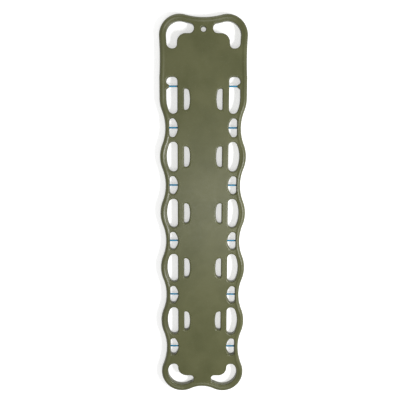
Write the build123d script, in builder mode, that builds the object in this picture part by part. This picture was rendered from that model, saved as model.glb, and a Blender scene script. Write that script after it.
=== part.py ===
from build123d import *
from math import asin, degrees
import os

os.makedirs("parts", exist_ok=True)

# Spine board lying on its runners: X across, Y towards the head end, Z up.
# The origin is on the surface it rests on, below the middle of the board.

# Overall size
board_length = 1828.8
board_width = 406.4
body_thickness = 38.0
runner_height = 12.8

# Moulded skin
skin = 4.0
rim_wall = 9.0
rim_ease = 8.8

# Rounded head corners with a shallow dip between them and a slight waist below
head_corner_radius = 94.2
head_dip = 14.1
waist_depth = 3.0
waist_below_corner = 95.2

# Rounded foot corners with a deeper dip between them
foot_corner_radius = 101.6
foot_dip = 23.6

# Waved sides: grip lobes between necks
neck_count = 5
neck_depth = 25.9
lobe_radius = 154.5
head_panel = 511.7
foot_panel = 235.9

# Hand holes: a long one in every lobe, a small one in every neck
rail = 32.0
hand_width = 51.4
hand_bow = 17.2
hand_inner_fillet = 19.5
hand_outer_fillet = 22.0
neck_rail = 18.8
small_width = 39.5
small_length = 86.5
small_bow = 17.6
small_inner_fillet = 9.0
small_outer_fillet = 14.0
bridge = 22.1
head_hole_top = 279.0

# Strap slots inboard of the long holes
slot_gap = 30.3
slot_width = 27.6
slot_length = 97.0
slot_bow = 7.5
slot_inner_fillet = 17.0
slot_outer_fillet = 6.5
head_slot_shift = -3.8

# Corner hand holes, which follow the rim and wrap round a rounded deck corner
corner_reach = 127.3
corner_width = 50.2
head_corner_deck = 85.4
head_corner_reach = 152.9
head_corner_turn = 40.0
head_arm_fillet = 21.5
foot_corner_deck = 83.0
foot_corner_reach = 145.0
foot_corner_turn = 42.0
foot_arm_fillet = 16.0
side_arm_inner_fillet = 19.5
side_arm_outer_fillet = 26.0

# Hang hole
hang_radius = 12.0
hang_below_top = 67.5

# Strap pins cast into the skin at both ends, with enough sides to look round
pin_radius = 4.0
pin_sides = 12
pin_embed = 6.0
pin_wall = 5.0
head_pin_below_hole_top = 42.6
head_boss_reach = 13.0
head_boss_base = 30.0
head_boss_tip = 10.0
head_boss_round = 3.0
head_boss_flare = 5.0

# Runners under the deck
runner_x = 38.0
runner_width = 30.0
runner_inset = 174.4
runner_taper = 12.0

# Foam plugs flush with the underside
plug_inset = 274.4
plug_radius = 10.0
plug_sides = 24

# Places worked out from the sizes
half_width = board_width / 2
half_length = board_length / 2
underside = runner_height
deck = underside + body_thickness
pin_height = underside + body_thickness / 2
first_neck_y = half_length - head_panel
last_neck_y = foot_panel - half_length
pitch = (first_neck_y - last_neck_y) / (neck_count - 1)
neck_ys = [first_neck_y - i * pitch for i in range(neck_count)]
lobe_ys = [y - pitch / 2 for y in neck_ys[:-1]]
hand_outer_x = half_width - rail
hand_inner_x = hand_outer_x - hand_width
hand_length = pitch - small_length - 2 * bridge
small_outer_x = half_width - neck_depth - neck_rail
small_inner_x = small_outer_x - small_width
slot_outer_x = hand_inner_x - slot_gap
slot_inner_x = slot_outer_x - slot_width
corner_side_x = hand_outer_x - corner_width
corner_inner_x = hand_outer_x - corner_reach
head_hole_upper_y = half_length - head_hole_top
head_hole_lower_y = first_neck_y + small_length / 2 + bridge
head_crest_y = first_neck_y + pitch / 2
head_pin_y = head_hole_upper_y - head_pin_below_hole_top
slot_ys = [head_crest_y + head_slot_shift] + lobe_ys
hang_y = half_length - hang_below_top
runner_length = board_length - 2 * runner_inset
plug_y = half_length - plug_inset


def radius_sum(run, rise):
    """Sum of the radii of two touching arcs that step by rise over run."""
    return (run**2 + rise**2) / (2 * rise)


def turn(run, radii):
    """Angle that each of two touching arcs turns through over run."""
    return degrees(asin(run / radii))


# Outline, as arcs that run on from each other from the head round to the foot
head_corner_x = half_width - head_corner_radius
head_corner_y = half_length - head_corner_radius
head_dip_sum = radius_sum(head_corner_x, head_dip)
head_dip_turn = turn(head_corner_x, head_dip_sum)
waist_sum = radius_sum(waist_below_corner, waist_depth)
waist_radius = waist_sum - head_corner_radius
waist_turn = turn(waist_below_corner, waist_sum)
shoulder_sum = waist_radius + lobe_radius
shoulder_run = (2 * waist_depth * shoulder_sum - waist_depth**2) ** 0.5
shoulder_turn = turn(shoulder_run, shoulder_sum)
wave_sum = radius_sum(pitch / 2, neck_depth)
wave_turn = turn(pitch / 2, wave_sum)
neck_radius = wave_sum - lobe_radius
foot_corner_x = half_width - foot_corner_radius
foot_corner_y = foot_corner_radius - half_length
foot_run = last_neck_y - foot_corner_y
foot_sum = radius_sum(foot_run, neck_depth)
foot_turn = turn(foot_run, foot_sum)
foot_dip_sum = radius_sum(foot_corner_x, foot_dip)
foot_dip_turn = turn(foot_corner_x, foot_dip_sum)

with BuildSketch() as outline:
    with BuildLine():
        edge = JernArc(
            (0, half_length - head_dip), (1, 0), head_dip_sum - head_corner_radius, head_dip_turn
        )
        edge = JernArc(edge @ 1, edge % 1, head_corner_radius, -(head_dip_turn + 90 + waist_turn))
        edge = JernArc(edge @ 1, edge % 1, waist_radius, waist_turn + shoulder_turn)
        edge = JernArc(edge @ 1, edge % 1, lobe_radius, -shoulder_turn)
        edge = Line(edge @ 1, (half_width, head_crest_y))
        edge = JernArc(edge @ 1, edge % 1, lobe_radius, -wave_turn)
        for lobe in range(neck_count - 1):
            edge = JernArc(edge @ 1, edge % 1, neck_radius, 2 * wave_turn)
            edge = JernArc(edge @ 1, edge % 1, lobe_radius, -2 * wave_turn)
        edge = JernArc(edge @ 1, edge % 1, neck_radius, wave_turn)
        edge = JernArc(edge @ 1, edge % 1, foot_sum - foot_corner_radius, foot_turn)
        edge = JernArc(edge @ 1, edge % 1, foot_corner_radius, -(foot_turn + 90 + foot_dip_turn))
        edge = JernArc(edge @ 1, edge % 1, foot_dip_sum - foot_corner_radius, foot_dip_turn)
        mirror(about=Plane.YZ)
    make_face()


def bow_corner(bow, run, width, flat_fillet, bow_fillet):
    """Fillet between an end and a bowed side, smaller than one that meets the flat side's fillet."""
    bow_radius = radius_sum(run, bow)
    room = width - flat_fillet
    widest = (2 * room * bow_radius - room**2 - run**2) / (2 * (bow_radius - run))
    return min(bow_fillet, 0.99 * widest)


def bowed_opening(flat_x, bow_x, bow, length, flat_fillet, bow_fillet):
    """Opening with one flat side and one side that bows outwards, its middle on the X axis."""
    end_x = bow_x - bow if bow_x > flat_x else bow_x + bow
    corner_fillet = bow_corner(bow, length / 2, abs(bow_x - flat_x), flat_fillet, bow_fillet)
    with BuildSketch() as opening:
        with BuildLine():
            Polyline(
                (end_x, length / 2), (flat_x, length / 2), (flat_x, -length / 2), (end_x, -length / 2)
            )
            ThreePointArc((end_x, -length / 2), (bow_x, 0), (end_x, length / 2))
        make_face()
        fillet(opening.vertices().sort_by_distance((flat_x, 0))[:2], radius=flat_fillet)
        fillet(opening.vertices().sort_by_distance((flat_x, 0))[-2:], radius=corner_fillet)
    return opening.sketch


# Long hole with a straight inner side, small hole with a straight rail side, strap slot
hand_hole = bowed_opening(
    hand_inner_x, hand_outer_x, hand_bow, hand_length, hand_inner_fillet, hand_outer_fillet
)
small_hole = bowed_opening(
    small_outer_x, small_inner_x, small_bow, small_length, small_outer_fillet, small_inner_fillet
)
strap_slot = bowed_opening(
    slot_outer_x, slot_inner_x, slot_bow, slot_length, slot_outer_fillet, slot_inner_fillet
)

# First long hole: a straight side above the crest, the lobe's bow below it
head_bow_run = head_crest_y - head_hole_lower_y
head_bow_radius = radius_sum(head_bow_run, hand_bow)
head_bow_turn = turn(head_bow_run, head_bow_radius)
head_bow_fillet = bow_corner(hand_bow, head_bow_run, hand_width, hand_inner_fillet, hand_outer_fillet)
with BuildSketch() as head_hole:
    with BuildLine():
        Polyline(
            (hand_outer_x, head_crest_y),
            (hand_outer_x, head_hole_upper_y),
            (hand_inner_x, head_hole_upper_y),
            (hand_inner_x, head_hole_lower_y),
            (hand_outer_x - hand_bow, head_hole_lower_y),
        )
        JernArc((hand_outer_x, head_crest_y), (0, -1), head_bow_radius, -head_bow_turn)
    make_face()
    for corner_y, outer_fillet in (
        (head_hole_lower_y, head_bow_fillet),
        (head_hole_upper_y, hand_outer_fillet),
    ):
        inner_corner = head_hole.vertices().sort_by_distance((hand_inner_x, corner_y))[:1]
        fillet(inner_corner, radius=hand_inner_fillet)
        outer_corner = head_hole.vertices().sort_by_distance((hand_outer_x, corner_y))[:1]
        fillet(outer_corner, radius=outer_fillet)

# Tapered boss on the rail that takes the first pin
with BuildSketch() as head_boss:
    with BuildLine():
        Polyline(
            (hand_outer_x + head_boss_reach, head_pin_y + head_boss_base / 2),
            (hand_outer_x, head_pin_y + head_boss_base / 2),
            (hand_outer_x - head_boss_reach, head_pin_y + head_boss_tip / 2),
            (hand_outer_x - head_boss_reach, head_pin_y - head_boss_tip / 2),
            (hand_outer_x, head_pin_y - head_boss_base / 2),
            (hand_outer_x + head_boss_reach, head_pin_y - head_boss_base / 2),
            close=True,
        )
    make_face()
    fillet(head_boss.vertices().group_by(Axis.X)[0], radius=head_boss_round)


# Corner hand holes: what the rim leaves beside the deck's rounded corner
def corner_window(deck_y, reach_y, end_y):
    """Bent region beside a corner of the deck, from the deck's edge out past the rim."""
    with BuildSketch() as window:
        with BuildLine():
            Polyline(
                (corner_inner_x, deck_y),
                (corner_side_x, deck_y),
                (corner_side_x, reach_y),
                (half_width, reach_y),
                (half_width, end_y),
                (corner_inner_x, end_y),
                close=True,
            )
        make_face()
    return window


def corner_opening(window, deck_y, reach_y, turn_fillet, arm_fillet):
    """Hand hole in a window, following the rim at the rail's width."""
    with BuildSketch() as opening:
        add(outline.sketch)
        offset(amount=-rail)
        add(window.sketch, mode=Mode.INTERSECT)
        arm_end = opening.edges().sort_by(Axis.X)[0]
        fillet(arm_end.vertices(), radius=min(arm_fillet, 0.45 * arm_end.length))
        fillet(opening.vertices().sort_by_distance((corner_side_x, deck_y))[:1], radius=turn_fillet)
        inner_corner = opening.vertices().sort_by_distance((corner_side_x, reach_y))[:1]
        fillet(inner_corner, radius=side_arm_inner_fillet)
        outer_corner = opening.vertices().sort_by_distance((hand_outer_x, reach_y))[:1]
        fillet(outer_corner, radius=side_arm_outer_fillet)
    return opening.sketch


head_deck_y = half_length - head_corner_deck
head_reach_y = half_length - head_corner_reach
foot_deck_y = foot_corner_deck - half_length
foot_reach_y = foot_corner_reach - half_length
head_window = corner_window(head_deck_y, head_reach_y, half_length)
foot_window = corner_window(foot_deck_y, foot_reach_y, -half_length)
head_corner_hole = corner_opening(
    head_window, head_deck_y, head_reach_y, head_corner_turn, head_arm_fillet
)
foot_corner_hole = corner_opening(
    foot_window, foot_deck_y, foot_reach_y, foot_corner_turn, foot_arm_fillet
)

# All openings, on both sides
with BuildSketch() as openings:
    add(head_hole.sketch)
    add(head_boss.sketch, mode=Mode.SUBTRACT)
    for side in (1, -1):
        boss_foot = (hand_outer_x, head_pin_y + side * head_boss_base / 2)
        fillet(openings.vertices().sort_by_distance(boss_foot)[:1], radius=head_boss_flare)
    add(head_corner_hole)
    add(foot_corner_hole)
    with Locations([(0, y) for y in lobe_ys]):
        add(hand_hole)
    with Locations([(0, y) for y in neck_ys]):
        add(small_hole)
    with Locations([(0, y) for y in slot_ys]):
        add(strap_slot)
    mirror(about=Plane.YZ)
    with Locations((0, hang_y)):
        Circle(hang_radius)

# Strap pins along X, numbered from the head end: place along Y, end in the deck, end in the rail
pins = [(head_pin_y, hand_inner_x - pin_embed, hand_outer_x - head_boss_reach + pin_embed)]
pins += [(y, small_inner_x - pin_embed, small_outer_x + pin_embed) for y in neck_ys]
strap_pins = []
for side_name, side in (("left", -1), ("right", 1)):
    for number, (pin_y, deck_end, rail_end) in enumerate(pins, start=1):
        with BuildPart() as strap_pin:
            with BuildSketch(Plane.YZ.offset(side * deck_end)):
                with Locations((pin_y, pin_height)):
                    RegularPolygon(pin_radius, pin_sides)
            extrude(amount=side * (rail_end - deck_end))
        strap_pin.part.label = f"strap_pin_{side_name}_{number}"
        strap_pins.append(strap_pin.part)

# Plugs that close the two foam filling holes in the underside
foam_plugs = []
for plug_name, side in (("head", 1), ("foot", -1)):
    with BuildPart() as foam_plug:
        with BuildSketch(Plane.XY.offset(underside)):
            with Locations((0, side * plug_y)):
                RegularPolygon(plug_radius, plug_sides)
        extrude(amount=skin)
    foam_plug.part.label = f"foam_plug_{plug_name}"
    foam_plugs.append(foam_plug.part)

# Foam core: fills the board inside its skin, with square clearances round the openings.
# The clearance of a small hole takes in the ends of its pin, so the rail of a neck is solid.
core_cuts = [
    (hand_inner_x, hand_outer_x, head_hole_lower_y, head_hole_upper_y),
    (-hang_radius, hang_radius, hang_y - hang_radius, hang_y + hang_radius),
]
core_cuts += [(hand_inner_x, hand_outer_x, y - hand_length / 2, y + hand_length / 2) for y in lobe_ys]
core_cuts += [(slot_inner_x, slot_outer_x, y - slot_length / 2, y + slot_length / 2) for y in slot_ys]
core_cuts += [(deck_end, rail_end, y - pin_wall, y + pin_wall) for y, deck_end, rail_end in pins]
core_cuts += [
    (deck_end, rail_end, y - small_length / 2, y + small_length / 2) for y, deck_end, rail_end in pins[1:]
]

with BuildSketch() as corner_windows:
    add(head_window.sketch)
    add(foot_window.sketch)
    offset(amount=skin, kind=Kind.INTERSECTION)

with BuildSketch() as corner_cuts:
    add(outline.sketch)
    offset(amount=skin - rail)
    add(corner_windows.sketch, mode=Mode.INTERSECT)

with BuildPart() as foam_core:
    with BuildSketch(Plane.XY.offset(underside + skin)):
        add(outline.sketch)
        offset(amount=-rim_wall)
        add(corner_cuts.sketch, mode=Mode.SUBTRACT)
        for low_x, high_x, low_y, high_y in core_cuts:
            with Locations(((low_x + high_x) / 2, (low_y + high_y) / 2)):
                Rectangle(high_x - low_x + 2 * skin, high_y - low_y + 2 * skin, mode=Mode.SUBTRACT)
        split(bisect_by=Plane.YZ)
        mirror(about=Plane.YZ)
    extrude(amount=body_thickness - 2 * skin)
    with BuildSketch(Plane.XY.offset(underside + skin)):
        with Locations((runner_x, 0), (-runner_x, 0)):
            Rectangle(runner_width - 4 * skin, runner_length - runner_width)
    extrude(amount=-runner_height)
foam_core.part.label = "foam_core"

# Board shell: one seamless hollow moulding with an eased rim and two runners
with BuildPart() as board_shell:
    with BuildSketch(Plane.XY.offset(underside)):
        add(outline.sketch)
    extrude(amount=body_thickness)
    rim_edges = board_shell.edges().group_by(Axis.Z)
    chamfer(rim_edges[0] + rim_edges[-1], length=rim_ease)
    with BuildSketch(Plane.XY.offset(underside)):
        add(openings.sketch)
    extrude(amount=body_thickness, mode=Mode.SUBTRACT)
    with BuildSketch(Plane.XY.offset(underside)):
        with Locations((runner_x, 0), (-runner_x, 0)):
            SlotOverall(runner_length, runner_width, rotation=90)
    extrude(amount=-runner_height, taper=runner_taper)
    add([foam_core.part] + strap_pins + foam_plugs, mode=Mode.SUBTRACT)
board_shell.part.label = "board_shell"

for piece in [board_shell.part, foam_core.part] + strap_pins + foam_plugs:
    export_step(piece, f"parts/{piece.label}.step")
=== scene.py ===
import math

import bmesh
import bpy
import numpy as np
from mathutils import Euler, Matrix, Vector
from mathutils.bvhtree import BVHTree
from mathutils.geometry import delaunay_2d_cdt


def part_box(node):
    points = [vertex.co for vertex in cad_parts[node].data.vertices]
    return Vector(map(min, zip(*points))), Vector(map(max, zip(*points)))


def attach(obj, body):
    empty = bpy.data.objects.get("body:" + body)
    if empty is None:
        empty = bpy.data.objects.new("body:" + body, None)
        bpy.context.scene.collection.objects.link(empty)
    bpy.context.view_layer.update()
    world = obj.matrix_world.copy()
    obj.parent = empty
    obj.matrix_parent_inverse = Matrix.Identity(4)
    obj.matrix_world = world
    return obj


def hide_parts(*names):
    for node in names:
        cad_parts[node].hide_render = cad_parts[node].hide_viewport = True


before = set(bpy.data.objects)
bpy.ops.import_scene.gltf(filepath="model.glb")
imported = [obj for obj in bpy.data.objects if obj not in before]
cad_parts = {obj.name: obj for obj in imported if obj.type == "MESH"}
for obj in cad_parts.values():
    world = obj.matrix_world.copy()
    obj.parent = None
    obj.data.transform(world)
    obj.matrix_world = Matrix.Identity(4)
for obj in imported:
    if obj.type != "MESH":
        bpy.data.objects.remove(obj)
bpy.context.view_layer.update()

mm = 0.001

# Places from the frame
half_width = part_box("board_shell")[1].x
half_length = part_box("board_shell")[1].y
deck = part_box("board_shell")[1].z
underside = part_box("foam_plug_head")[0].z
pin_boxes = {n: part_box(n) for n in sorted(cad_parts) if n.startswith("strap_pin")}
head_pin_y = sum(corner.y for corner in pin_boxes["strap_pin_right_1"]) / 2

# Outline
head_corner_radius = 94.2 * mm
head_dip = 14.1 * mm
waist_depth = 3.0 * mm
waist_below_corner = 95.2 * mm
foot_corner_radius = 101.6 * mm
foot_dip = 23.6 * mm
neck_count = 5
neck_depth = 25.9 * mm
lobe_radius = 154.5 * mm
head_panel = 511.7 * mm
foot_panel = 235.9 * mm

# Hand holes and strap slots
rail = 32.0 * mm
hand_width = 51.4 * mm
hand_bow = 17.2 * mm
hand_inner_fillet = 19.5 * mm
hand_outer_fillet = 22.0 * mm
neck_rail = 18.8 * mm
small_width = 39.5 * mm
small_length = 86.5 * mm
small_bow = 17.6 * mm
small_inner_fillet = 9.0 * mm
small_outer_fillet = 14.0 * mm
bridge = 22.1 * mm
head_hole_top = 279.0 * mm
boss_reach = 13.0 * mm
boss_base = 30.0 * mm
boss_tip = 10.0 * mm
boss_round = 3.0 * mm
boss_flare = 5.0 * mm
slot_gap = 30.3 * mm
slot_width = 27.6 * mm
slot_length = 97.0 * mm
slot_bow = 7.5 * mm
slot_inner_fillet = 17.0 * mm
slot_outer_fillet = 6.5 * mm
head_slot_shift = -3.8 * mm
hang_radius = 12.0 * mm
hang_below_top = 67.5 * mm

# Corner hand holes: how far the deck and the side arm's tip lie from the board's end, and radii
corner_reach = 127.3 * mm
corner_width = 50.2 * mm
side_arm_inner_fillet = 19.5 * mm
side_arm_outer_fillet = 26.0 * mm
head_corner = {"deck": 85.4 * mm, "reach": 152.9 * mm, "turn": 40.0 * mm, "arm": 21.5 * mm}
foot_corner = {"deck": 83.0 * mm, "reach": 145.0 * mm, "turn": 42.0 * mm, "arm": 16.0 * mm}

# Moulded surface: rounded rim that stands as a bead above the deck, hole edges, runners below
rim_round = 16.0 * mm
hole_round = 6.0 * mm
bead_height = 3.2 * mm
bead_start = 14.0 * mm
bead_end = 24.0 * mm
foam_wall = 4.0 * mm
runner_x = 38.0 * mm
runner_half_width = 15.0 * mm
runner_inset = 174.4 * mm
runner_taper = math.radians(12)
runner_round = 2.5 * mm
parting_ridge = 0.3 * mm
parting_slope = 2.5

# Waves in the deck, in radians to the metre, with their starts
wave_height = 0.3 * mm
cross_wave, cross_start = 57, 2.1
long_wave, long_start = 41, 0.4
slant_wave = (-31, 23)

# Pins and plugs
pin_edge = 0.8 * mm
pin_edge_rings = 5
pin_sides = 48
pin_seam = 0.15 * mm
seam_spread = 0.12
plug_sides = 64
plug_cap = 1.2 * mm
plug_groove = 0.5 * mm

# Mesh
fine_step = 1.0 * mm
loop_step = 4.0 * mm
loop_turn = math.radians(9)
edge_rings = 8
grid_step = 3.6 * mm
deck_stride = 5
runner_side_stride = 12
runner_end_stride = 3
runner_bend_share = 0.4
runner_clearance = 0.7 * grid_step

# Tolerances, and the Delaunay output that keeps to the constraints
inside_constraints = 1
nearly_parallel = 1e-16
tiny = 1e-9
overlap = 1e-6
same_point = 1e-7
weld_distance = 0.01 * mm

# Strips beside an edge: shares of the rounding or of the room that they take
strip_steps = 10
strip_room = 0.96
strip_share = 0.85
strip_most = 0.95
strip_least = 0.08
narrowing_passes = 3
smoothing_passes = 4

# Materials: noise cells to a patch, the noise between which a share grows, and strengths
specks_to_patch = 14
gloss_to_patch = 5
patch_noise = (0.35, 0.65)
speck_noise = (0.58, 0.75)
gloss_noise = (0.3, 0.7)
speck_strength = 0.35
grain_strength = 0.42

# Sockets of a colour Mix node: share, first and second colour, and the result
mix_inputs = (0, 6, 7)
mix_output = 2

# Floor and world
floor_level = -0.1 * mm
floor_reach = 6
floor_color = (0.88, 0.88, 0.88, 1)
floor_roughness = 0.9
floor_lift = 0.5
world_strength = 0.42
white = (1, 1, 1, 1)

# Camera, fitted to the photograph: focal length in pixels of the 400 pixel frame
focal_pixels = 512.1
frame_pixels = 400
camera_place = (-0.0092, 0.4372, 2.4549)
camera_turn = [math.radians(a) for a in (-8.84, 0.13, 0.16)]

# Places worked out from the sizes
first_neck_y = half_length - head_panel
last_neck_y = foot_panel - half_length
pitch = (first_neck_y - last_neck_y) / (neck_count - 1)
neck_ys = [first_neck_y - i * pitch for i in range(neck_count)]
lobe_ys = [y - pitch / 2 for y in neck_ys[:-1]]
hand_outer_x = half_width - rail
hand_inner_x = hand_outer_x - hand_width
hand_length = pitch - small_length - 2 * bridge
small_outer_x = half_width - neck_depth - neck_rail
small_inner_x = small_outer_x - small_width
slot_outer_x = hand_inner_x - slot_gap
slot_inner_x = slot_outer_x - slot_width
corner_side_x = hand_outer_x - corner_width
corner_inner_x = hand_outer_x - corner_reach
head_hole_upper_y = half_length - head_hole_top
head_hole_lower_y = first_neck_y + small_length / 2 + bridge
head_crest_y = first_neck_y + pitch / 2
slot_ys = [head_crest_y + head_slot_shift] + lobe_ys
hang_y = half_length - hang_below_top
runner_end_y = half_length - runner_inset - runner_half_width
runner_tip_half_width = runner_half_width - underside * math.tan(runner_taper)


def line(start, end):
    """Points along a straight run."""
    steps = max(1, math.ceil(math.dist(start, end) / fine_step))
    return np.linspace(start, end, steps + 1)


def arc_from(start, heading, radius, angle):
    """Points along an arc that leaves start at heading and turns by angle, left if positive."""
    side = math.copysign(1, angle)
    normal = np.array([-math.sin(heading), math.cos(heading)])
    steps = max(2, math.ceil(radius * abs(angle) / fine_step))
    headings = heading + np.linspace(0, angle, steps + 1)
    centre = np.array(start) + side * radius * normal
    return centre + side * radius * np.c_[np.sin(headings), -np.cos(headings)]


def arcs_from(start, heading, arcs):
    """Points along arcs that touch one after another, each a (radius, angle) pair."""
    runs = [np.array([start])]
    for radius, angle in arcs:
        runs.append(arc_from(runs[-1][-1], heading, radius, angle)[1:])
        heading += angle
    return np.vstack(runs)


def left_normals(points):
    """Unit normals to the left of a run of points."""
    along = np.gradient(points, axis=0)
    along /= np.linalg.norm(along, axis=1)[:, None]
    return np.c_[-along[:, 1], along[:, 0]]


def crossing(first, second):
    """Where two runs cross: (index on the first, share, index on the second, share)."""
    p, r = first[:-1, None], np.diff(first, axis=0)[:, None]
    q, s = second[None, :-1], np.diff(second, axis=0)[None]
    cross = r[..., 0] * s[..., 1] - r[..., 1] * s[..., 0]
    cross = np.where(np.abs(cross) < nearly_parallel, nearly_parallel, cross)
    gap = q - p
    t = (gap[..., 0] * s[..., 1] - gap[..., 1] * s[..., 0]) / cross
    u = (gap[..., 0] * r[..., 1] - gap[..., 1] * r[..., 0]) / cross
    on_first = (t >= -overlap) & (t <= 1 + overlap)
    on_second = (u >= -overlap) & (u <= 1 + overlap)
    i, j = np.argwhere(on_first & on_second)[-1]
    return i, t[i, j], j, u[i, j]


def fillet(first, second, radius):
    """Two runs that meet at a corner, trimmed, with the fillet between them."""
    inward, outward = first[-1] - first[-2], second[1] - second[0]
    side = math.copysign(1, inward[0] * outward[1] - inward[1] * outward[0])
    shifted = [run + side * radius * left_normals(run) for run in (first, second)]
    i, t, j, u = crossing(*shifted)
    centre = shifted[0][i] + t * (shifted[0][i + 1] - shifted[0][i])
    start = first[i] + t * (first[i + 1] - first[i])
    end = second[j] + u * (second[j + 1] - second[j])
    angles = [math.atan2(*(point - centre)[::-1]) for point in (start, end)]
    sweep = (side * (angles[1] - angles[0])) % (2 * math.pi)
    steps = max(2, math.ceil(radius * sweep / fine_step))
    turns = angles[0] + side * np.linspace(0, sweep, steps + 1)
    bend = centre + radius * np.c_[np.cos(turns), np.sin(turns)]
    return np.vstack([first[: i + 1], start]), bend, np.vstack([end, second[j + 1 :]])


def rounded_loop(runs, radii):
    """Closed loop of runs that meet end to start, with a fillet after each run."""
    runs = list(runs)
    bends = []
    for i, radius in enumerate(radii):
        j = (i + 1) % len(runs)
        runs[i], bend, runs[j] = fillet(runs[i], runs[j], radius)
        bends.append(bend)
    return thinned(np.vstack([part for pair in zip(runs, bends) for part in pair]))


def thinned(points):
    """A closed loop with points as close as its length and its bends need."""
    ahead = np.roll(points, -1, axis=0) - points
    points = points[np.linalg.norm(ahead, axis=1) > same_point]
    ahead = np.roll(points, -1, axis=0) - points
    heading = np.arctan2(ahead[:, 1], ahead[:, 0])
    bend = np.abs((heading - np.roll(heading, 1) + math.pi) % (2 * math.pi) - math.pi)
    travelled = np.cumsum(np.linalg.norm(ahead, axis=1) / loop_step + bend / loop_turn)
    count = math.ceil(travelled[-1])
    marks = np.searchsorted(travelled, travelled[-1] * np.arange(count) / count)
    return points[np.unique(marks)]


def mirrored(loop):
    """The loop on the other side of the board, still with the material on its right."""
    return loop[::-1] * (-1, 1)


def radius_sum(run, rise):
    """Sum of the radii of two touching arcs that step by rise over run."""
    return (run**2 + rise**2) / (2 * rise)


def outline_half():
    """The outline's right half, from the head round to the foot."""
    corner_x = half_width - head_corner_radius
    dip_sum = radius_sum(corner_x, head_dip)
    dip_turn = math.asin(corner_x / dip_sum)
    waist_sum = radius_sum(waist_below_corner, waist_depth)
    waist_radius = waist_sum - head_corner_radius
    waist_turn = math.asin(waist_below_corner / waist_sum)
    shoulder_turn = math.acos(1 - waist_depth / (waist_radius + lobe_radius))
    wave_sum = radius_sum(pitch / 2, neck_depth)
    wave_turn = math.asin(pitch / 2 / wave_sum)
    neck_radius = wave_sum - lobe_radius
    foot_corner_x = half_width - foot_corner_radius
    foot_run = last_neck_y - foot_corner_radius + half_length
    foot_sum = radius_sum(foot_run, neck_depth)
    foot_turn = math.asin(foot_run / foot_sum)
    foot_dip_sum = radius_sum(foot_corner_x, foot_dip)
    foot_dip_turn = math.asin(foot_corner_x / foot_dip_sum)
    quarter = math.pi / 2
    head_arcs = [
        (dip_sum - head_corner_radius, dip_turn),
        (head_corner_radius, -(dip_turn + quarter + waist_turn)),
        (waist_radius, waist_turn + shoulder_turn),
        (lobe_radius, -shoulder_turn),
    ]
    wave_arcs = [(neck_radius, 2 * wave_turn), (lobe_radius, -2 * wave_turn)] * (neck_count - 1)
    foot_arcs = [
        (neck_radius, wave_turn),
        (foot_sum - foot_corner_radius, foot_turn),
        (foot_corner_radius, -(foot_turn + quarter + foot_dip_turn)),
        (foot_dip_sum - foot_corner_radius, foot_dip_turn),
    ]
    head = arcs_from((0, half_length - head_dip), 0, head_arcs)
    crest = (half_width, head_crest_y)
    side = arcs_from(crest, -quarter, [(lobe_radius, -wave_turn)] + wave_arcs + foot_arcs)
    return np.vstack([head, line(head[-1], crest)[1:], side[1:]])


def bow(start, end, depth):
    """Run from start to end that bows out to the right by depth."""
    start, end = np.array(start), np.array(end)
    half = math.dist(start, end) / 2
    turn = 2 * math.atan(depth / half)
    heading = math.atan2(*(end - start)[::-1]) - turn
    return arc_from(start, heading, half / math.sin(turn), 2 * turn)


def bowed_opening(flat_x, bow_x, depth, length, flat_fillet, bow_fillet):
    """Opening with a flat side and a side that bows outwards, its middle on the X axis."""
    side = 1 if bow_x > flat_x else -1
    end_x = bow_x - side * depth
    low, high = -side * length / 2, side * length / 2
    runs = [
        line((flat_x, high), (flat_x, low)),
        line((flat_x, low), (end_x, low)),
        bow((end_x, low), (end_x, high), depth),
        line((end_x, high), (flat_x, high)),
    ]
    return rounded_loop(runs, (flat_fillet, bow_fillet, bow_fillet, flat_fillet))


def head_hole():
    """First long hole: straight above the crest, with the boss that takes the first pin."""
    lower_bow = hand_outer_x - hand_bow
    bow_run = head_crest_y - head_hole_lower_y
    bow_radius = radius_sum(bow_run, hand_bow)
    bow_angle = math.asin(bow_run / bow_radius)
    boss_x = hand_outer_x - boss_reach
    base_low, base_high = head_pin_y - boss_base / 2, head_pin_y + boss_base / 2
    tip_low, tip_high = head_pin_y - boss_tip / 2, head_pin_y + boss_tip / 2
    lower = arc_from((lower_bow, head_hole_lower_y), math.pi / 2 - bow_angle, bow_radius, bow_angle)
    runs = [
        line((hand_inner_x, head_hole_upper_y), (hand_inner_x, head_hole_lower_y)),
        line((hand_inner_x, head_hole_lower_y), (lower_bow, head_hole_lower_y)),
        np.vstack([lower[:-1], line((hand_outer_x, head_crest_y), (hand_outer_x, base_low))]),
        line((hand_outer_x, base_low), (boss_x, tip_low)),
        line((boss_x, tip_low), (boss_x, tip_high)),
        line((boss_x, tip_high), (hand_outer_x, base_high)),
        line((hand_outer_x, base_high), (hand_outer_x, head_hole_upper_y)),
        line((hand_outer_x, head_hole_upper_y), (hand_inner_x, head_hole_upper_y)),
    ]
    radii = [hand_inner_fillet, hand_outer_fillet, boss_flare, boss_round]
    return rounded_loop(runs, radii + radii[::-1])


def corner_hole(half_outline, corner, end):
    """Bent hand hole that follows the rim; end is 1 at the head and -1 at the foot."""
    inset = (half_outline - rail * left_normals(half_outline)) * (1, end)
    if end < 0:
        inset = inset[::-1]
    deck_y, reach_y = half_length - corner["deck"], half_length - corner["reach"]
    first = np.flatnonzero(inset[:, 0] >= corner_inner_x)[0]
    last = first + np.flatnonzero(inset[first:, 1] <= reach_y)[0]
    rim_run = inset[first : last + 1][::-1]
    rim_run[0] = (rim_run[0][0], reach_y)
    rim_run[-1] = (corner_inner_x, rim_run[-1][1])
    runs = [
        rim_run,
        line(rim_run[-1], (corner_inner_x, deck_y)),
        line((corner_inner_x, deck_y), (corner_side_x, deck_y)),
        line((corner_side_x, deck_y), (corner_side_x, reach_y)),
        line((corner_side_x, reach_y), rim_run[0]),
    ]
    arm_fillets = (corner["arm"], corner["arm"])
    radii = (*arm_fillets, corner["turn"], side_arm_inner_fillet, side_arm_outer_fillet)
    loop = rounded_loop(runs, radii) * (1, end)
    return loop if end > 0 else loop[::-1]


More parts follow.
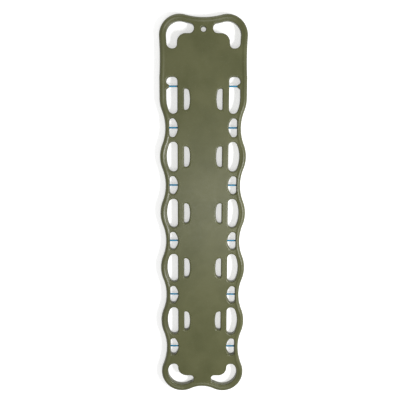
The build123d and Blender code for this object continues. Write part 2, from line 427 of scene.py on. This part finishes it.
def corner_holes():
    """The two corner holes on the right: at the head and at the foot."""
    half = outline_half()
    return [corner_hole(half, head_corner, 1), corner_hole(half, foot_corner, -1)]


def all_loops():
    """The outline, clockwise, and every hole, anticlockwise: the material is on the right."""
    half = outline_half()
    outline = thinned(np.vstack([half, mirrored(half)[1:-1]]))
    long_hole = bowed_opening(
        hand_inner_x, hand_outer_x, hand_bow, hand_length, hand_inner_fillet, hand_outer_fillet
    )
    small_hole = bowed_opening(
        small_outer_x, small_inner_x, small_bow, small_length, small_outer_fillet, small_inner_fillet
    )
    slot = bowed_opening(
        slot_outer_x, slot_inner_x, slot_bow, slot_length, slot_outer_fillet, slot_inner_fillet
    )
    right = [head_hole()] + corner_holes()
    right += [long_hole + (0, y) for y in lobe_ys]
    right += [small_hole + (0, y) for y in neck_ys]
    right += [slot + (0, y) for y in slot_ys]
    hang = thinned(arc_from((0, hang_y - hang_radius), 0, hang_radius, 2 * math.pi)[:-1])
    return outline, right + [mirrored(loop) for loop in right] + [hang]


def into_material(loop):
    """Unit normals of a closed loop, to its right, where the material is."""
    along = np.roll(loop, -1, axis=0) - np.roll(loop, 1, axis=0)
    along /= np.linalg.norm(along, axis=1)[:, None]
    return np.c_[along[:, 1], -along[:, 0]]


def inside_loop(point, loop):
    """Whether a point lies inside a closed loop."""
    x, y = point
    x1, y1 = loop[:, 0], loop[:, 1]
    x2, y2 = np.roll(x1, -1), np.roll(y1, -1)
    spans = (y1 > y) != (y2 > y)
    with np.errstate(divide="ignore", invalid="ignore"):
        cuts = (x2 - x1) * (y - y1) / (y2 - y1) + x1
    return np.count_nonzero(spans & (x < cuts)) % 2 == 1


class Edges:
    """Signed distance to a set of closed loops, positive in the material."""

    def __init__(self, loops):
        corners, quads, self.segments = [], [], []
        for number, loop in enumerate(loops):
            base, count = len(corners), len(loop)
            corners += [(x, y, -1.0) for x, y in loop] + [(x, y, 1.0) for x, y in loop]
            for i in range(count):
                j = (i + 1) % count
                quads.append((base + i, base + j, base + count + j, base + count + i))
                self.segments.append((number, i))
        self.tree = BVHTree.FromPolygons(corners, quads)

    def measure(self, points):
        """Each point's signed distance, and the loop and vertex that it is nearest to."""
        distances = np.empty(len(points))
        nearest = np.empty((len(points), 2), int)
        for k, (x, y) in enumerate(points):
            place, normal, index, distance = self.tree.find_nearest((x, y, 0.0))
            out = (x - place.x) * normal.x + (y - place.y) * normal.y
            distances[k] = distance if out > 0 else -distance
            nearest[k] = self.segments[index]
        return distances, nearest


def strip_widths(loop, edges, limit):
    """How far each vertex of a loop is shifted into the material, short of the middle."""
    normals = into_material(loop)
    reach = np.full(len(loop), limit)
    for share in np.linspace(1, 1 / strip_steps, strip_steps):
        room, _ = edges.measure(loop + normals * (share * limit))
        short = (room < strip_room * share * limit) & (reach >= share * limit - tiny)
        reach[short] = (share - 1 / strip_steps) * limit
    least = strip_least * limit
    widths = np.clip(strip_share * reach, least, limit)
    for _ in range(narrowing_passes):
        widths = np.minimum(widths, np.minimum(np.roll(widths, 1), np.roll(widths, -1)))
    for _ in range(smoothing_passes):
        widths = (np.roll(widths, 1) + 2 * widths + np.roll(widths, -1)) / 4
    return np.minimum(widths, np.maximum(strip_most * reach, least))


def drop(distance, radius):
    """How far a rounded edge falls below the surface at a distance from the edge."""
    share = np.clip(1 - distance / radius, 0, 1)
    return radius * (1 - np.sqrt(1 - share**2))


def smooth_step(values, start, end):
    """From 0 at start to 1 at end, level at both."""
    share = np.clip((values - start) / (end - start), 0, 1)
    return share * share * (3 - 2 * share)


def waviness(points):
    """Slight unevenness of a large moulded surface, between 0 and 1."""
    x, y = points[:, 0], points[:, 1]
    crossed = np.sin(cross_wave * x + cross_start) * np.sin(long_wave * y + long_start)
    slanted = np.sin(slant_wave[0] * x + slant_wave[1] * y)
    return 0.5 + 0.25 * crossed + 0.25 * slanted


def deck_height(points, rim, hole):
    """Deck with its bead and rounded edges, at distances from the rim and the nearest hole."""
    inner = smooth_step(rim, bead_start, bead_end)
    recess = (bead_height + wave_height * waviness(points)) * inner
    return deck - recess - drop(rim, rim_round) - drop(hole, hole_round)


def runner_distance(points):
    """Distance from the middle line of the nearer runner."""
    beyond = np.maximum(np.abs(points[:, 1]) - runner_end_y, 0)
    return np.hypot(np.abs(points[:, 0]) - runner_x, beyond)


def underside_height(points, rim, hole):
    """Underside with its rounded edges and the two tapered runners."""
    away = runner_distance(points)
    height = np.clip((runner_half_width - away) / math.tan(runner_taper), 0, underside)
    to_edge = runner_tip_half_width - away
    height -= drop(to_edge + runner_round, runner_round) * (to_edge > 0)
    return underside - height + drop(rim, rim_round) + drop(hole, hole_round)


def runner_rings():
    """Rings round each runner where its section bends."""
    tip = runner_tip_half_width
    bend = tip - runner_bend_share * runner_round
    rings = []
    for away in (tip - runner_round, bend, tip, runner_half_width):
        for x in (runner_x, -runner_x):
            right, left = x + away, x - away
            up = line((right, -runner_end_y), (right, runner_end_y))
            over = arc_from((right, runner_end_y), math.pi / 2, away, math.pi)
            down = line((left, runner_end_y), (left, -runner_end_y))
            under = arc_from((left, -runner_end_y), -math.pi / 2, away, math.pi)
            sides = [run[::runner_side_stride] for run in (up, down)]
            ends = [run[::runner_end_stride] for run in (over, under)]
            loop = np.vstack([sides[0], ends[0], sides[1], ends[1]])
            ahead = np.roll(loop, -1, axis=0) - loop
            rings.append(loop[np.linalg.norm(ahead, axis=1) > fine_step / 2])
    return rings


def triangulated(rings, points, open_rings):
    """Triangles between rings and loose points, without the insides of the open rings."""
    flat = [Vector(p) for ring in rings for p in ring] + [Vector(p) for p in points]
    owner, edges = [], []
    for number, ring in enumerate(rings):
        base, count = len(owner), len(ring)
        edges += [(base + i, base + (i + 1) % count) for i in range(count)]
        owner += [number] * count
    owner += [None] * len(points)
    _, _, faces, origin, _, _ = delaunay_2d_cdt(flat, edges, [], inside_constraints, tiny)
    triangles = []
    for face in faces:
        corners = [origin[v][0] for v in face]
        number = owner[corners[0]]
        if number in open_rings and {owner[v] for v in corners} == {number}:
            middle = sum((flat[v] for v in corners), Vector((0, 0))) / 3
            if inside_loop(middle, rings[number]):
                continue
        triangles.append(corners)
    return triangles


class Skin:
    """The board's skin: one closed mesh over the outline and the holes."""

    def __init__(self, outline, holes):
        self.points = []
        self.faces = []
        self.loops = [outline] + holes
        self.rim_edges = Edges([outline])
        self.hole_edges = Edges(holes)
        edges = Edges(self.loops)
        limits = [rim_round] + [hole_round] * len(holes)
        self.widths = [strip_widths(loop, edges, limit) for loop, limit in zip(self.loops, limits)]
        rings, tops, lows = zip(*[self.edge_strips(number) for number in range(len(self.loops))])
        points = self.free_points()
        low_points = points[runner_distance(points) > runner_half_width + runner_clearance]
        self.fill(rings, tops, [], points, deck_height, flipped=False)
        self.fill(rings, lows, runner_rings(), low_points, underside_height, flipped=True)

    def add(self, points, heights):
        """Add points at heights and return their numbers."""
        base = len(self.points)
        self.points += [(x, y, z) for (x, y), z in zip(points, heights)]
        return np.arange(base, base + len(points))

    def strip(self, first, second):
        """Quads between two rings of the same count."""
        count = len(first)
        for i in range(count):
            j = (i + 1) % count
            self.faces.append((second[i], second[j], first[j], first[i]))

    def edge_strips(self, number):
        """A loop's wall and rounded strips; returns the inmost ring and its point numbers."""
        loop, width = self.loops[number], self.widths[number]
        normals = into_material(loop)
        last_top = last_low = None
        for share in 1 - np.cos(np.linspace(0, math.pi / 2, edge_rings + 1)):
            own = width * share
            ring = loop + normals * own[:, None]
            if number == 0:
                rim, hole = own, self.hole_edges.measure(ring)[0]
            else:
                rim, hole = self.rim_edges.measure(ring)[0], own
            top = self.add(ring, deck_height(ring, rim, hole))
            low = self.add(ring, underside_height(ring, rim, hole))
            if last_top is not None:
                self.strip(last_top, top)
                self.strip(low, last_low)
            elif number == 0:
                self.parted_wall(ring, normals, top, low)
            else:
                self.strip(low, top)
            last_top, last_low = top, low
        return ring, top, low

    def parted_wall(self, ring, normals, top, low):
        """The rim's upright wall, with the mould's parting line half way up."""
        middle = (deck + underside) / 2
        rise = parting_slope * parting_ridge
        below = self.add(ring, np.full(len(ring), middle - rise))
        crest = self.add(ring - normals * parting_ridge, np.full(len(ring), middle))
        above = self.add(ring, np.full(len(ring), middle + rise))
        for first, second in ((low, below), (below, crest), (crest, above), (above, top)):
            self.strip(first, second)

    def free_points(self):
        """Grid points inside the strips, close together only where the surface curves."""
        points, coarse = [], []
        rows = np.arange(-half_length, half_length, grid_step * math.sqrt(3) / 2)
        for row, y in enumerate(rows):
            xs = np.arange(-half_width, half_width, grid_step) + (row % 2) * grid_step / 2
            points += [(x, y) for x in xs]
            coarse += [row % deck_stride == 0 and i % deck_stride == 0 for i in range(len(xs))]
        points, coarse = np.array(points), np.array(coarse)
        rim, rim_near = self.rim_edges.measure(points)
        inside = rim > 0
        points, coarse, rim, rim_near = points[inside], coarse[inside], rim[inside], rim_near[inside]
        hole, hole_near = self.hole_edges.measure(points)
        rim_strip = self.widths[0][rim_near[:, 1]]
        hole_strip = np.array([self.widths[1 + number][i] for number, i in hole_near])
        clear = (rim > rim_strip + grid_step / 2) & (hole > hole_strip + grid_step / 2)
        curved = (rim < bead_end + grid_step) | (hole < 2 * hole_round)
        return points[clear & (curved | coarse)]

    def fill(self, inner_rings, inner_numbers, more_rings, points, height, flipped):
        """The surface inside the inmost rings, with further rings drawn on it."""
        loose = np.vstack([*more_rings, points])
        rim, _ = self.rim_edges.measure(loose)
        hole, _ = self.hole_edges.measure(loose)
        numbers = np.concatenate([*inner_numbers, self.add(loose, height(loose, rim, hole))])
        rings = [*inner_rings, *more_rings]
        for triangle in triangulated(rings, points, range(1, len(inner_rings))):
            corners = tuple(numbers[v] for v in triangle)
            self.faces.append(corners[::-1] if flipped else corners)


def mesh_object(name, points, faces, smooth=True):
    """New piece of the scene from points and faces."""
    mesh = bpy.data.meshes.new(name)
    mesh.from_pydata([tuple(p) for p in points], [], [tuple(int(i) for i in f) for f in faces])
    mesh.validate()
    mesh.update()
    if smooth:
        mesh.shade_smooth()
    made = bpy.data.objects.new(name, mesh)
    bpy.context.scene.collection.objects.link(made)
    return made


def turned(name, centre, axis, profile, sides, seam=0.0):
    """Closed piece turned round an axis; profile holds (along, radius) pairs in order."""
    turn = Vector(axis).to_track_quat("Z", "Y")
    centre = Vector(centre)
    points, faces = [], []
    for along, radius in profile:
        for k in range(sides):
            angle = 2 * math.pi * k / sides
            reach = radius + seam * math.exp(-((math.sin(angle) / seam_spread) ** 2))
            offset = Vector((reach * math.cos(angle), reach * math.sin(angle), along))
            points.append(centre + turn @ offset)
    for ring in range(len(profile) - 1):
        low, high = ring * sides, (ring + 1) * sides
        for k in range(sides):
            after = (k + 1) % sides
            faces.append((low + k, low + after, high + after, high + k))
    last = (len(profile) - 1) * sides
    for start, along, order in ((0, profile[0][0], -1), (last, profile[-1][0], 1)):
        pole = len(points)
        points.append(centre + turn @ Vector((0, 0, along)))
        for k in range(sides):
            faces.append((start + k, start + (k + 1) % sides, pole)[::order])
    return mesh_object(name, points, faces)


def rod_profile(length, radius):
    """Straight rod with rounded ends."""
    end = []
    for turn in np.linspace(0, math.pi / 2, pin_edge_rings):
        along = length / 2 - pin_edge * (1 - math.cos(turn))
        end.append((along, radius - pin_edge * (1 - math.sin(turn))))
    return [(-along, r) for along, r in end] + end[::-1]


def plug_profile(radius, depth):
    """Body that fills the port, with a low cap that has a rounded edge and a ring groove."""
    groove_floor = plug_cap - plug_groove
    return [
        (-depth, 0.95 * radius),
        (0, radius),
        (0.5 * plug_cap, 0.99 * radius),
        (0.85 * plug_cap, 0.96 * radius),
        (plug_cap, 0.91 * radius),
        (plug_cap, 0.80 * radius),
        (groove_floor, 0.75 * radius),
        (groove_floor, 0.65 * radius),
        (plug_cap, 0.60 * radius),
        (plug_cap, 0.20 * radius),
    ]


def prism(loop, low, high):
    """Upright closed piece over a loop, used to cut another."""
    count = len(loop)
    points = [(x, y, low) for x, y in loop] + [(x, y, high) for x, y in loop]
    faces = [tuple(range(count))[::-1], tuple(range(count, 2 * count))]
    for i in range(count):
        j = (i + 1) % count
        faces.append((i, j, count + j, count + i))
    return mesh_object("prism", points, faces, smooth=False)


def trimmed_foam():
    """The foam core, cut back behind the rounded bends of the four corner holes."""
    welded = bmesh.new()
    welded.from_mesh(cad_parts["foam_core"].data)
    bmesh.ops.remove_doubles(welded, verts=welded.verts, dist=weld_distance)
    mesh = bpy.data.meshes.new("foam_fill")
    welded.to_mesh(mesh)
    welded.free()
    made = bpy.data.objects.new("foam_fill", mesh)
    bpy.context.scene.collection.objects.link(made)
    right = corner_holes()
    cutters = []
    for loop in right + [mirrored(loop) for loop in right]:
        cutter = prism(loop + into_material(loop) * foam_wall, -deck, 2 * deck)
        cutters.append(cutter)
        cut = made.modifiers.new("cut", "BOOLEAN")
        cut.operation = "DIFFERENCE"
        cut.solver = "EXACT"
        cut.object = cutter
    shaped = made.evaluated_get(bpy.context.evaluated_depsgraph_get())
    trimmed = bpy.data.meshes.new_from_object(shaped)
    made.modifiers.clear()
    made.data = trimmed
    made.data.materials.clear()
    for cutter in cutters:
        bpy.data.objects.remove(cutter)
    return made


def new_material(name):
    """Material with its node tree and its shader."""
    made = bpy.data.materials.new(name)
    made.use_nodes = True
    return made, made.node_tree, made.node_tree.nodes["Principled BSDF"]


def noise(tree, scale, detail):
    """Noise on the piece's own coordinates, with scale cells to the metre."""
    place = tree.nodes.new("ShaderNodeTexCoord")
    node = tree.nodes.new("ShaderNodeTexNoise")
    node.inputs["Scale"].default_value = scale
    node.inputs["Detail"].default_value = detail
    tree.links.new(place.outputs["Object"], node.inputs["Vector"])
    return node.outputs["Fac"]


def mapped(tree, value, low, high, to_low, to_high):
    """Value moved from one range to another, held at its ends."""
    node = tree.nodes.new("ShaderNodeMapRange")
    node.inputs["From Min"].default_value = low
    node.inputs["From Max"].default_value = high
    node.inputs["To Min"].default_value = to_low
    node.inputs["To Max"].default_value = to_high
    tree.links.new(value, node.inputs["Value"])
    return node.outputs["Result"]


def blended(tree, share, first, second):
    """Colour between first and second, each an RGB tuple or an output socket."""
    node = tree.nodes.new("ShaderNodeMix")
    node.data_type = "RGBA"
    share_in, first_in, second_in = (node.inputs[i] for i in mix_inputs)
    tree.links.new(share, share_in)
    for socket, color in ((first_in, first), (second_in, second)):
        if isinstance(color, tuple):
            socket.default_value = (*color, 1)
        else:
            tree.links.new(color, socket)
    return node.outputs[mix_output]


def moulded(name, dark, pale, worn, patches, roughness, grain, grain_depth):
    """Mottled colour, pale worn specks, uneven gloss and a grain; cells are to the metre."""
    made, tree, shader = new_material(name)
    patch = mapped(tree, noise(tree, patches, detail=3), *patch_noise, 0, 1)
    specks = noise(tree, specks_to_patch * patches, detail=6)
    speck = mapped(tree, specks, *speck_noise, 0, speck_strength)
    color = blended(tree, speck, blended(tree, patch, dark, pale), worn)
    tree.links.new(color, shader.inputs["Base Color"])
    gloss = mapped(tree, noise(tree, gloss_to_patch * patches, detail=5), *gloss_noise, *roughness)
    tree.links.new(gloss, shader.inputs["Roughness"])
    bump = tree.nodes.new("ShaderNodeBump")
    bump.inputs["Strength"].default_value = grain_strength
    bump.inputs["Distance"].default_value = grain_depth
    tree.links.new(noise(tree, grain, detail=4), bump.inputs["Height"])
    tree.links.new(bump.outputs["Normal"], shader.inputs["Normal"])
    return made


def paper():
    """Pale floor that the camera, glossy and transmission rays see lifted to white."""
    made, tree, shader = new_material("paper")
    shader.inputs["Base Color"].default_value = floor_color
    shader.inputs["Roughness"].default_value = floor_roughness
    shader.inputs["Emission Color"].default_value = white
    light_path = tree.nodes.new("ShaderNodeLightPath")
    seen = light_path.outputs["Is Camera Ray"]
    for ray in ("Is Glossy Ray", "Is Transmission Ray"):
        either = tree.nodes.new("ShaderNodeMath")
        tree.links.new(seen, either.inputs[0])
        tree.links.new(light_path.outputs[ray], either.inputs[1])
        seen = either.outputs[0]
    lift = mapped(tree, seen, 0, 1, 0, floor_lift)
    tree.links.new(lift, shader.inputs["Emission Strength"])
    return made


def area_light(name, place, target, size, power):
    """Rectangular lamp at a place, turned to its target."""
    data = bpy.data.lights.new(name, "AREA")
    data.shape = "RECTANGLE"
    data.size, data.size_y = size
    data.energy = power
    lamp = bpy.data.objects.new(name, data)
    bpy.context.scene.collection.objects.link(lamp)
    lamp.location = place
    toward = Vector(target) - Vector(place)
    lamp.rotation_euler = toward.to_track_quat("-Z", "Y").to_euler()


# Plastics and foam
shell_plastic = moulded(
    "shell_plastic",
    dark=(0.084, 0.088, 0.031),
    pale=(0.106, 0.109, 0.043),
    worn=(0.145, 0.145, 0.078),
    patches=9,
    roughness=(0.33, 0.4),
    grain=700,
    grain_depth=0.25 * mm,
)
pin_plastic = moulded(
    "pin_plastic",
    dark=(0.014, 0.2, 0.36),
    pale=(0.022, 0.25, 0.42),
    worn=(0.06, 0.32, 0.5),
    patches=60,
    roughness=(0.24, 0.36),
    grain=900,
    grain_depth=0.1 * mm,
)
plug_plastic = moulded(
    "plug_plastic",
    dark=(0.095, 0.1, 0.05),
    pale=(0.12, 0.125, 0.068),
    worn=(0.17, 0.17, 0.11),
    patches=60,
    roughness=(0.38, 0.5),
    grain=900,
    grain_depth=0.2 * mm,
)
foam = moulded(
    "foam",
    dark=(0.62, 0.56, 0.4),
    pale=(0.72, 0.66, 0.5),
    worn=(0.8, 0.76, 0.62),
    patches=20,
    roughness=(0.85, 0.95),
    grain=400,
    grain_depth=0.8 * mm,
)

# Board
skin = Skin(*all_loops())
board = mesh_object("board_skin", skin.points, skin.faces)
board.data.materials.append(shell_plastic)
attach(board, "root")
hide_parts("board_shell")

# Pins
for name, (low, high) in pin_boxes.items():
    profile = rod_profile(high.x - low.x, (high.z - low.z) / 2)
    pin = turned(name + "_rod", (low + high) / 2, (1, 0, 0), profile, pin_sides, pin_seam)
    pin.data.materials.append(pin_plastic)
    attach(pin, "root")
    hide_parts(name)

# Plugs
for name in ("foam_plug_head", "foam_plug_foot"):
    low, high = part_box(name)
    seat = ((low.x + high.x) / 2, (low.y + high.y) / 2, low.z)
    profile = plug_profile((high.x - low.x) / 2, high.z - low.z)
    plug = turned(name + "_cap", seat, (0, 0, -1), profile, plug_sides)
    plug.data.materials.append(plug_plastic)
    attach(plug, "root")
    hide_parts(name)

# Foam
foam_fill = trimmed_foam()
foam_fill.data.materials.append(foam)
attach(foam_fill, "root")
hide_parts("foam_core")

# Floor, just clear of the runners
floor_corners = [(x * floor_reach, y * floor_reach) for x, y in ((-1, -1), (1, -1), (1, 1), (-1, 1))]
floor = mesh_object(
    "floor", [(x, y, floor_level) for x, y in floor_corners], [(0, 1, 2, 3)], smooth=False
)
floor.data.materials.append(paper())

# Camera
camera_data = bpy.data.cameras.new("camera")
camera_data.sensor_width = 36
camera_data.lens = focal_pixels * camera_data.sensor_width / frame_pixels
camera = bpy.data.objects.new("camera", camera_data)
bpy.context.scene.collection.objects.link(camera)
camera.location = camera_place
camera.rotation_euler = Euler(camera_turn)
bpy.context.scene.camera = camera

# World and lamps
world = bpy.data.worlds.new("world")
bpy.context.scene.world = world
world.use_nodes = True
world.node_tree.nodes["Background"].inputs["Color"].default_value = white
world.node_tree.nodes["Background"].inputs["Strength"].default_value = world_strength
area_light("softbox", place=(0.1, -0.4, 2.7), target=(0, 0, 0), size=(0.8, 0.6), power=8)
area_light("side_light", place=(1.45, -0.25, 2.0), target=(0, 0.2, 0), size=(0.9, 0.4), power=48)
area_light("head_fill", place=(-0.4, 2.4, 0.7), target=(0, -0.4, 0), size=(1.0, 0.5), power=6)

bpy.context.scene.view_settings.view_transform = "Standard"
